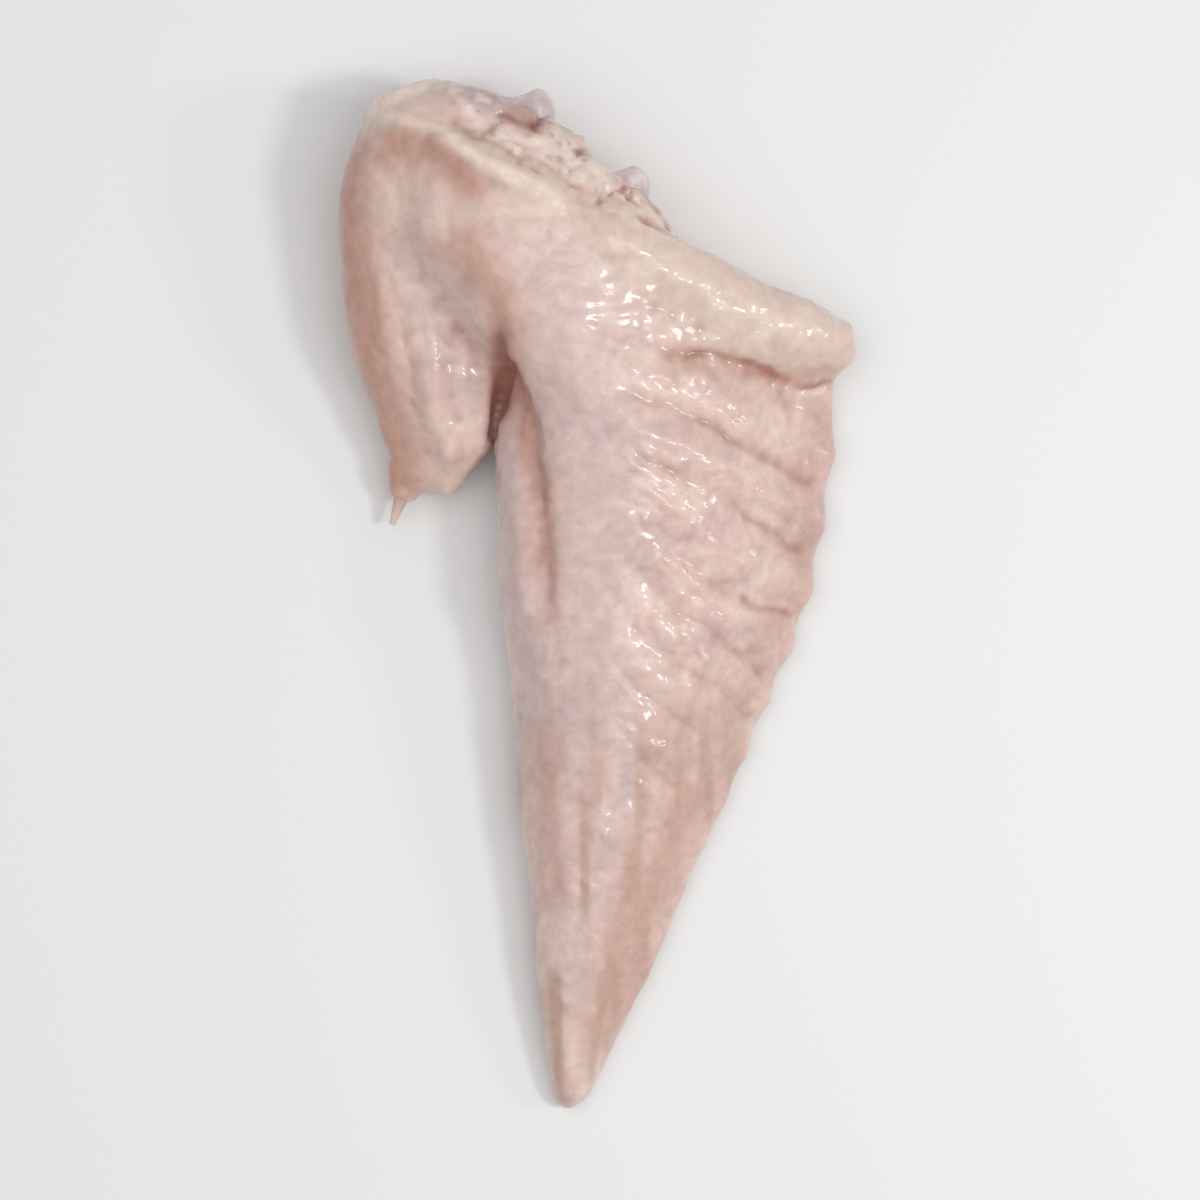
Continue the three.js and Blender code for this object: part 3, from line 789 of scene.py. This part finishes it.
# brownish pink of the skin, and painted shade where a stroke follows a hollow or an edge
BLUSH_AND_SHADE_STROKES = [
    ([[-17, 39.4], [-13.5, 37.9], [-11, 36.4]], 2.3, 1.0),
    # brown skin, and painted shade along the thumb's outer edge
    ([[-22.3, 40], [-22.5, 34], [-20.8, 22], [-17.8, 11.5]], 2.6, 1.0),
    # painted shade in the valley between the thumb and the hand
    ([[-11, 30], [-8.6, 24.5], [-7.8, 18.5]], 2.0, 0.8),
    # painted shade along the groove
    ([[-6.6, 18], [-5.4, 10], [-4.6, 2]], 1.3, 0.5),
    # painted shade under the hem
    ([[6, 21.6], [9, 21.4], [12.7, 20.3], [16.4, 18.7], [21, 19.2]], 0.8, 0.5),
    ([[8, -17], [4, -28], [1.5, -36]], 2.6, 0.55),
    ([[-5.4, -11], [-4.6, -19], [-3.9, -26]], 1.2, 0.4),
    # painted shade along the thin edge of the web
    ([[19.5, 15], [17.5, 2], [10, -14]], 1.6, 0.35),
]
CLEAR_STROKES = [
    ([[-8.6, 15], [-7.8, 9], [-6.8, 2], [-5.4, -6], [-5, -16]], 1.6, 0.8),
    ([[-15, 28], [-13, 18]], 2.6, 0.6),
    ([[-4.5, -1], [0.5, -9], [-2, -18]], 4.0, 0.5),
    ([[-3, 27], [-0.5, 14], [0, 3]], 3.5, 0.6),
    ([[-4.6, -14], [-3.8, -24], [-3, -34]], 1.6, 0.5),
    ([[2.4, -12], [0.6, -23], [-1, -31]], 1.8, 0.5),
]
PALE_STROKES = [
    (LIP_LINE, 0.7, 0.9),
    (SHOULDER_EDGE, 0.8, 0.9),
    (MEMBRANE_EDGE, 0.5, 0.7),
    ([[2, 32.5], [9.2, 27.5], [16, 24.6], [21, 24]], 1.3, 0.3),
]
# painted shade: reddish brown along the slit and the groove
CREASE_SHADE_STROKES = [
    (SLIT_LINE[1:], 0.9, 0.7),
    (GROOVE_LINE[:4], 0.9, 0.75),
    (GROOVE_LINE[3:6], 0.7, 0.5),
]
# painted shade: dark red down the deep slit between the thumb and the hand
SLIT_SHADE_STROKES = [(SLIT_LINE[1:4], 0.9, 0.65)]


def strokes(lines, reach):
    """The strongest of several strokes: each fades as a bell of the distance to its line, by its spread
    and strength. The places are first moved by noise, which makes the edges ragged."""
    places = frayed(plan, 5.0, reach, 51)
    return np.max([strength * near(places, line, spread) for line, spread, strength in lines], axis=0)


def keep_mask(made, name, values):
    """Keeps a number from 0 to 1 for each point of an object's mesh, as an attribute."""
    attribute = made.data.attributes.new(name, "FLOAT", "POINT")
    attribute.data.foreach_set("value", np.clip(values, 0, 1).astype(np.float32))
    print(name, "covers", values.mean().round(3), "of", made.name)


mottle = 0.5 + layered((0.5, 6.0, 53))
on_top = 0.2 + 0.8 * facing_up
# cream of fat, and painted light on the thumb's shaded side
fat_and_painted_light = np.maximum(strokes(FAT_AND_LIGHT_STROKES, 1.2) * on_top, 0.9 * on_hem)
keep_mask(skin, "fat_and_painted_light", fat_and_painted_light * (0.8 + 0.2 * mottle))
# blush of the skin, with painted shade in hollows and along edges
keep_mask(skin, "blush_and_painted_shade", strokes(BLUSH_AND_SHADE_STROKES, 1.2) * (0.7 + 0.3 * mottle))
keep_mask(skin, "clear", strokes(CLEAR_STROKES, 1.5) * (0.75 + 0.25 * mottle))

# %% Streaks, blotches, and painted shade in creases
BLOTCHED = [[-16.5, 38], [-15.5, 31], [-14, 22]]  # down the shoulder and the thumb
BLOTCH_SPREAD = 6.0
lengthwise = 0.5 + layered((0.35, [1.3, 12.0, 4.0], 55), (0.25, [0.7, 6.0, 3.0], 59))
streaked = ramp(lengthwise, 0.45, 0.8) * np.maximum(ramp(y, -4, -20), 0.25 * on_thumb)
keep_mask(skin, "streaked", 0.8 * streaked)
blotched = ramp(noise(net, 2.2, 56), -0.1, 0.6) * near(plan, BLOTCHED, BLOTCH_SPREAD)
keep_mask(skin, "blotched", 0.22 * blotched * (1 - on_cut))
# painted shade: the skin is darker where the net lies below its own smoothed copy, in creases and dips
sunken = ((relaxed(shaped, skin_edges, 0.5, 50) - shaped) * normals).sum(axis=1)
shaded_dips = ramp(sunken, 0.03, 0.3) * (1 - 0.7 * on_cut) * (1 - 0.4 * on_web)
keep_mask(skin, "crease", np.maximum(shaded_dips, strokes(CREASE_SHADE_STROKES, 0.4) * (0.7 + 0.3 * mottle)))

# %% Colours of the torn joint
BLOOD_SPOTS = [[-1.8, 38.5], [2.1, 35.6]]
SPOT_SPREAD = 0.4
keep_mask(skin, "raw", on_cut)
keep_mask(skin, "pearl", pearl)
keep_mask(skin, "nick", 0.8 * nick)
shreds = ramp(noise(frayed(net, 1.2, 1.1, 57), np.array([3.2, 1.8, 1.3]), 54), 0.2, 0.6)
keep_mask(skin, "membrane", on_cut * np.clip(upper * (1 - past_rim) + shreds, 0, 1))
pale_flecks = 0.7 * ramp(noise(net, 0.8, 64), 0.2, 0.6) * on_cut
pale = np.maximum(strokes(PALE_STROKES, 0.5) * on_top, pale_flecks)
keep_mask(skin, "pale", pale * (0.7 + 0.3 * mottle))
dark_flecks = 0.5 * ramp(noise(net, 0.7, 65), 0.35, 0.7) * on_cut
# painted shade in the gaps between the crumbs, and dark flecks on the torn flesh
keep_mask(skin, "crumb_shade_and_flecks", np.maximum(0.9 * ramp(crumb_lumps, 0.35, 0.0) * crumbs, dark_flecks))
from_spots = [norm(ragged - spot, axis=1) for spot in BLOOD_SPOTS]
spots = 0.8 * bell(np.min(from_spots, axis=0), 0, SPOT_SPREAD) * on_cut
blood_in_nick = nick_edge * (0.5 + 0.45 * ramp(x, -7.2, -5.2))
# blood on the spots and at the nick's edge; down the slit the same dark red is painted shade
keep_mask(skin, "blood_and_slit_shade", np.max([spots, blood_in_nick, strokes(SLIT_SHADE_STROKES, 0.3)], axis=0))
skin.data.shade_smooth()

# %% [markdown]
# ## Raw chicken skin
# Raw skin is a thin, clear, moist layer over fat and flesh. Light goes into it and comes out again a
# millimetre or two away, pinker than it went in, so the relief looks soft. A film of moisture on top
# gives sharp glints. A photo wrapped round it would hold its own light and shade. A Principled shader
# with subsurface light and a clear coat does both, and the masks mix its colours.

# %% Colours and nodes
def linear(hex_colour):
    """A colour of eight bits a channel as linear light: c/12.92 up to 0.04045, and above that
    ((c + 0.055)/1.055)^2.4."""
    c = np.array([int(hex_colour[i:i + 2], 16) for i in (1, 3, 5)]) / 255
    return (*np.where(c <= 0.04045, c / 12.92, ((c + 0.055) / 1.055) ** 2.4), 1.0)


def add(tree, kind, inputs, output=0, **settings):
    """Adds a shader node of a kind with its settings. Each input takes a value, or another node's output
    that is linked to it. Gives back the node's own output, the first one if no other is named."""
    made = tree.nodes.new("ShaderNode" + kind)
    for name, value in settings.items():
        setattr(made, name, value)
    for name, value in inputs.items():
        if isinstance(value, bpy.types.NodeSocket):
            tree.links.new(value, made.inputs[name])
        else:
            made.inputs[name].default_value = value
    return made.outputs[output] if made.outputs else None


def new_material(name):
    """An empty material and its node tree."""
    material = bpy.data.materials.new(name)
    material.use_nodes = True
    material.node_tree.nodes.clear()
    return material, material.node_tree


FACTOR, FIRST, SECOND, COLOUR = 0, 6, 7, 2  # sockets of a Mix node that mixes colours
print("a grey of #808080 is", round(linear("#808080")[0], 3), "in linear light")

# %% Raw chicken skin
SKIN_COLOUR = "#d9beb4"
PATCH_TINTS = [("#c0a5a1", 0.3), ("#e6cfc3", 0.7)]  # each with the noise at which it is full
SKIN_TINTS = {  # laid over one another in this order, each by its mask
    # cream of fat, and painted light on the thumb
    "fat_and_painted_light": "#d5c0b2",
    "clear": "#c9b2b0",
    # blush, and painted shade in the valley, the groove, under the hem and along edges
    "blush_and_painted_shade": "#ba8a77",
    "streaked": "#bf9d8c",
    "blotched": "#c1aaa2",
    "raw": "#bb8577",
    "membrane": "#dcc8bd",
    "pearl": "#bfaaaa",
    "pale": "#e8d8cc",
    # painted shade between the crumbs, and dark flecks
    "crumb_shade_and_flecks": "#ae8878",
    "nick": "#b09083",
    # blood, and painted shade in the slit
    "blood_and_slit_shade": "#84382c",
    # painted shade in creases and dips, in the slit and along the groove
    "crease": "#a8705f",
}
PATCH_WIDTH = 4.0 * MM
SPECK_WIDTH = 1.0 * MM
PORE_WIDTH = 0.7 * MM  # real pores are finer, and are drawn as coarse as they need to show
PORE_DEPTH = 0.12 * MM
FILM_WIDTH = 1.5 * MM
FILM_DEPTH = 0.35 * MM
FILM_STRETCH = (0.45, 1.0, 0.7)
FILM_ANGLE = 0.8  # the moisture gathers in short runs, slanted as the ridges are
WATER_IOR = 1.33
FLESH_IOR = 1.4


def raw_skin():
    """Pinkish beige mixed with the tint of each mask; patches a few millimetres wide, greyer on one side
    of a noise and creamier on the other; specks; pores as bump; light that spreads under the surface;
    a clear, uneven moist coat. To the eye it is soft and pale, with sharp wet glints."""
    material, tree = new_material("raw_chicken_skin")
    place = add(tree, "TexCoord", {}, "Object")
    patches = add(tree, "TexNoise", {
        "Vector": place, "Scale": 1 / PATCH_WIDTH, "Detail": 5.0, "Roughness": 0.65, "Distortion": 0.5,
    })
    layers = []
    for tint, full in PATCH_TINTS:
        share = add(tree, "MapRange", {"Value": patches, "From Min": 0.5, "From Max": full, "To Max": 0.8})
        layers.append((share, tint))
    for name, tint in SKIN_TINTS.items():
        layers.append((add(tree, "Attribute", {}, "Fac", attribute_name=name), tint))
    # some of the masks mixed here are painted shade in creases, hollows and along edges, and painted light
    # on the thumb
    colour = linear(SKIN_COLOUR)
    for share, tint in layers:
        inputs = {FACTOR: share, FIRST: colour, SECOND: linear(tint)}
        colour = add(tree, "Mix", inputs, COLOUR, data_type="RGBA")
    specks = add(tree, "TexNoise", {"Vector": place, "Scale": 1 / SPECK_WIDTH, "Detail": 4.0})
    shade = add(tree, "MapRange", {
        "Value": specks, "From Min": 0.3, "From Max": 0.7, "To Min": 0.91, "To Max": 1.06,
    })
    inputs = {FACTOR: 1.0, FIRST: colour, SECOND: shade}
    speckled = add(tree, "Mix", inputs, COLOUR, data_type="RGBA", blend_type="MULTIPLY")
    pores = add(tree, "TexNoise", {"Vector": place, "Scale": 1 / PORE_WIDTH, "Detail": 3.0})
    bump = add(tree, "Bump", {"Height": pores, "Strength": 0.4, "Distance": PORE_DEPTH})
    slanted = add(tree, "Mapping", {
        "Vector": place, "Rotation": (0.0, 0.0, FILM_ANGLE), "Scale": FILM_STRETCH,
    })
    film = add(tree, "TexNoise", {"Vector": slanted, "Scale": 1 / FILM_WIDTH, "Detail": 1.0})
    wet_bump = add(tree, "Bump", {"Height": film, "Strength": 0.7, "Distance": FILM_DEPTH})
    shader = add(tree, "BsdfPrincipled", {
        "Base Color": speckled, "Roughness": 0.42, "IOR": FLESH_IOR,
        "Subsurface Weight": 0.5, "Subsurface Radius": (1.0, 0.45, 0.3), "Subsurface Scale": 1.6 * MM,
        "Coat Weight": 0.8, "Coat Roughness": 0.1, "Coat IOR": WATER_IOR,
        "Normal": bump, "Coat Normal": wet_bump,
    })
    add(tree, "OutputMaterial", {"Surface": shader})
    return material


skin.data.materials.clear()
skin.data.materials.append(raw_skin())
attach(skin, "root")
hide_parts("skin_and_flesh")
print("wing_skin:", len(skin.data.polygons) * 2, "triangles")

# %% [markdown]
# ## The two bone ends
# Where the knife went through the joint, two bones end in knobs of clear, pearly gristle, each with a
# shallow hollow that the next bone turned in. A knob on its shaft is round about its axis, so the
# surface is a profile carried round a circle. A groove across the end, a slight oval and noise take the
# look of a lathe away.

# %% The two bone ends
BONE_RINGS = 150
BONE_POINTS = 96


def around(way, turn):
    """Directions round a way: the cosine of the turn goes to its side, and the sine goes up."""
    side = np.cross([0, 0, 1], way)
    side /= norm(side, axis=-1, keepdims=True)
    up = np.cross(way, side)
    return np.cos(turn)[..., None] * side[..., None, :] + np.sin(turn)[..., None] * up[..., None, :]


def bone_profile(knob, shaft, length):
    """Radius and place along the axis, from the middle of the hollow over the knob and down the shaft."""
    knob_rows = [
        [0.02, -0.14], [0.3, -0.1], [0.52, 0.01], [0.76, 0], [1, -0.32], [0.98, -0.75], [0.74, -1.5],
    ]
    shaft_rows = [
        [shaft, -2.6 * knob],
        [shaft, 0.6 * (shaft - length) - 0.4 * 2.6 * knob],
        [shaft, shaft - length],
        [0.02 * shaft, -length],
    ]
    return np.concatenate([knob * np.array(knob_rows), shaft_rows])


def bone_surface(knob, shaft, face_place, end_place, seed):
    """The profile turned about the axis, a little oval, and moved along the radius by noise. On the end
    the height also falls and rises twice round, which makes a groove between two round lips."""
    axis = face_place - end_place
    length = norm(axis)
    axis = axis / length
    profile = along(bone_profile(knob, shaft, length), np.linspace(0, 1, BONE_RINGS))
    turn = np.linspace(0, 2 * np.pi, BONE_POINTS, endpoint=False)[None, :]
    radius = profile[:, :1] * (1 + 0.05 * np.cos(2 * turn + seed))
    on_end = ramp(profile[:, 1:], -0.9 * knob, 0) * np.minimum(profile[:, :1] / knob, 1)
    height = profile[:, 1:] + 0.12 * knob * on_end * np.cos(2 * turn - 0.6)
    outward = around(axis, turn)
    points = face_place + radius[..., None] * outward + height[..., None] * axis
    flat = points.reshape(-1, 3)
    rough = 0.2 * noise(flat, 2.4, seed) + 0.04 * noise(flat, 0.9, seed + 1)
    rough = rough.reshape(radius.shape) * np.minimum(radius / shaft, 1)
    return points + rough[..., None] * outward


bones = []
for seed, (name, knob, shaft, face_place, end_place) in enumerate(BONES, start=61):
    surface = bone_surface(knob, shaft, face_place, end_place, seed)
    corners, faces = joined([surface[::-1]])
    bone = new_object(name + "_gristle", (corners + TO_FRAME) * MM, faces)
    from_face = norm(corners - face_place, axis=1) + 0.8 * noise(corners, 1.4, seed + 9)
    keep_mask(bone, "stained", ramp(from_face, 0.75 * knob, 0.25 * knob))
    bone.data.shade_smooth()
    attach(bone, "root")
    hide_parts(name)
    bones.append(bone)
    print(bone.name, len(faces), "faces")

# %% [markdown]
# ## Wet gristle
# Gristle is clear and firm: light goes deep into it, and its wet surface shines. It is made as the skin
# is, with more subsurface light, a bluish white and a reddish stain in the hollow.

# %% Wet gristle
GRISTLE_COLOUR = "#bdabac"
GRISTLE_PALE = "#dccdc8"
STAIN_COLOUR = "#b08a80"
CLOUD_WIDTH = 1.8 * MM
GRAIN_WIDTH = 0.5 * MM
GRAIN_DEPTH = 0.1 * MM


def wet_gristle():
    """Clear bluish white gristle with cloudy pale patches, a reddish stain in the hollow, and a wet coat.
    To the eye it is glassy at the edges and milky inside."""
    material, tree = new_material("wet_gristle")
    place = add(tree, "TexCoord", {}, "Object")
    clouds = add(tree, "TexNoise", {"Vector": place, "Scale": 1 / CLOUD_WIDTH, "Detail": 4.0})
    cloudy = add(tree, "MapRange", {"Value": clouds, "From Min": 0.4, "From Max": 0.65})
    stained = add(tree, "Attribute", {}, "Fac", attribute_name="stained")
    colour = linear(GRISTLE_COLOUR)
    for share, tint in ((cloudy, GRISTLE_PALE), (stained, STAIN_COLOUR)):
        inputs = {FACTOR: share, FIRST: colour, SECOND: linear(tint)}
        colour = add(tree, "Mix", inputs, COLOUR, data_type="RGBA")
    grain = add(tree, "TexNoise", {"Vector": place, "Scale": 1 / GRAIN_WIDTH, "Detail": 3.0})
    bump = add(tree, "Bump", {"Height": grain, "Strength": 0.4, "Distance": GRAIN_DEPTH})
    shader = add(tree, "BsdfPrincipled", {
        "Base Color": colour, "Roughness": 0.35, "IOR": FLESH_IOR,
        "Subsurface Weight": 0.6, "Subsurface Radius": (1.0, 0.7, 0.6), "Subsurface Scale": 1.5 * MM,
        "Coat Weight": 0.8, "Coat Roughness": 0.08, "Coat IOR": WATER_IOR, "Normal": bump,
    })
    add(tree, "OutputMaterial", {"Surface": shader})
    return material


gristle = wet_gristle()
for bone in bones:
    bone.data.materials.append(gristle)
print("gristle on", len(bones), "bone ends")

# %% [markdown]
# ## The claw
# A young chicken still has a small claw on its thumb: a bent horn, pale and clear towards its point.
# A cone would be straight, so a round section is carried along a bent line and shrinks to the point.
# Horn is dry beside the skin, so its shader has clouds and a soft polish, but no wet coat.

# %% The claw
CLAW_LINE = np.array([at(-0.36, 0.135, 0.2), at(-0.378, 0.105, 0.2), at(-0.402, 0.073, 0.13)])
CLAW_RADIUS = 1.05
CLAW_TAPER = 0.75  # share of its radius that it loses by the point
CLAW_FULLNESS = 1.3  # over 1 keeps it thick for longer
CLAW_RINGS = 50
CLAW_POINTS = 40
POINT_FROM = (3.0, 6.0)  # distances from the root where the horn starts to pale and where it is palest


def claw_surface(share, turn):
    """A quadratic curve between two ends, bent to a third place, and round it a circle whose radius
    falls as 1 less the taper times a power of the share."""
    start, bend, end = CLAW_LINE
    centre = start * (1 - share) ** 2 + 2 * bend * share * (1 - share) + end * share**2
    way = 2 * (bend - start) * (1 - share) + 2 * (end - bend) * share
    way /= norm(way, axis=-1, keepdims=True)
    radius = CLAW_RADIUS * (1 - CLAW_TAPER * share**CLAW_FULLNESS)
    return centre[:, None] + radius[..., None] * around(way, turn)


claw_share = np.linspace(0, 1, CLAW_RINGS)[:, None]
claw_turn = np.linspace(0, 2 * np.pi, CLAW_POINTS, endpoint=False)[None, :]
corners, faces = joined([claw_surface(claw_share, claw_turn)])
claw = new_object("thumb_claw_horn", (corners + TO_FRAME) * MM, faces)
keep_mask(claw, "to_point", ramp(norm(corners - CLAW_LINE[0], axis=1), *POINT_FROM))
claw.data.shade_smooth()
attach(claw, "root")
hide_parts("thumb_claw")
print("claw:", len(faces), "faces")

# %% Pale horn
HORN_ROOT = "#b3907f"
HORN_CLOUD = "#cbae9f"
HORN_POINT = "#d9c7b9"
HORN_CLOUD_WIDTH = 0.8 * MM
HORN_IOR = 1.54


def pale_horn():
    """Skin-coloured and cloudy at its root, yellowish white at the point. To the eye it is clear at the
    edges, with a soft polish."""
    material, tree = new_material("pale_horn")
    place = add(tree, "TexCoord", {}, "Object")
    clouds = add(tree, "TexNoise", {"Vector": place, "Scale": 1 / HORN_CLOUD_WIDTH, "Detail": 3.0})
    to_point = add(tree, "Attribute", {}, "Fac", attribute_name="to_point")
    colour = linear(HORN_ROOT)
    for share, tint in ((clouds, HORN_CLOUD), (to_point, HORN_POINT)):
        inputs = {FACTOR: share, FIRST: colour, SECOND: linear(tint)}
        colour = add(tree, "Mix", inputs, COLOUR, data_type="RGBA")
    shader = add(tree, "BsdfPrincipled", {
        "Base Color": colour, "Roughness": 0.35, "IOR": HORN_IOR,
        "Subsurface Weight": 0.4, "Subsurface Radius": (1.0, 0.8, 0.6), "Subsurface Scale": 0.6 * MM,
    })
    add(tree, "OutputMaterial", {"Surface": shader})
    return material


claw.data.materials.append(pale_horn())
print("horn on", claw.name)

# %% [markdown]
# ## Floor, camera and light
# The wing tip is seen from straight above, on a plain pale floor. A broad soft light from the left shows
# the relief, and a smaller one on the right fills it in. Two small windows further right make the sharp
# glints of the moist skin, which one large light would blur.

# %% Floor
FLOOR_SIDE = 4.0
FLOOR_COLOUR = "#e2e2e1"  # a matt ground that takes a soft shadow
square = np.array([[-1, -1, 0], [1, -1, 0], [1, 1, 0], [-1, 1, 0]])
floor = new_object("floor", FLOOR_SIDE / 2 * square, [[0, 1, 2, 3]])
floor_material, floor_tree = new_material("pale_floor")
floor_shader = add(floor_tree, "BsdfPrincipled", {"Base Color": linear(FLOOR_COLOUR), "Roughness": 0.6})
add(floor_tree, "OutputMaterial", {"Surface": floor_shader})
floor.data.materials.append(floor_material)
print("floor:", FLOOR_SIDE, "m a side")

# %% Camera
FILL_OF_FRAME = 0.86
LENS = 110
SENSOR = 36
middle = (CAD_BOX[0] + CAD_BOX[1]) / 2
frame_height = (CAD_BOX[1].y - CAD_BOX[0].y) / FILL_OF_FRAME
camera_data = bpy.data.cameras.new("camera")
camera_data.lens = LENS
camera_data.sensor_width = SENSOR
camera_data.clip_start = 0.01
camera = placed("camera", camera_data)
camera.location = (middle.x, middle.y, CAD_BOX[1].z / 2 + frame_height * LENS / SENSOR)
bpy.context.scene.camera = camera
print("camera", round(camera.location.z, 3), "m above the floor")

# %% Light
LIGHTS = [  # place and side in metres, power in watts
    ("soft_sky", (-0.16, 0.03, 0.5), 0.6, 1.17),
    ("window", (0.17, -0.03, 0.42), 0.2, 0.38),
    ("second_window", (0.28, -0.03, 0.38), 0.07, 0.55),
    ("third_window", (0.48, 0.02, 0.3), 0.07, 0.32),
]
ROOM_COLOUR = "#f4f4f6"
ROOM_STRENGTH = 0.41
for name, place, side, power in LIGHTS:
    light_data = bpy.data.lights.new(name, "AREA")
    light_data.size = side
    light_data.energy = power
    light = placed(name, light_data)
    light.location = place
    light.rotation_euler = (-light.location).to_track_quat("-Z", "Y").to_euler()
    light.visible_camera = False
    print(name, power, "W")
world = bpy.data.worlds.new("soft_room")
world.use_nodes = True
background = world.node_tree.nodes["Background"]
background.inputs["Color"].default_value = linear(ROOM_COLOUR)
background.inputs["Strength"].default_value = ROOM_STRENGTH
bpy.context.scene.world = world
bpy.context.scene.view_settings.view_transform = "Standard"
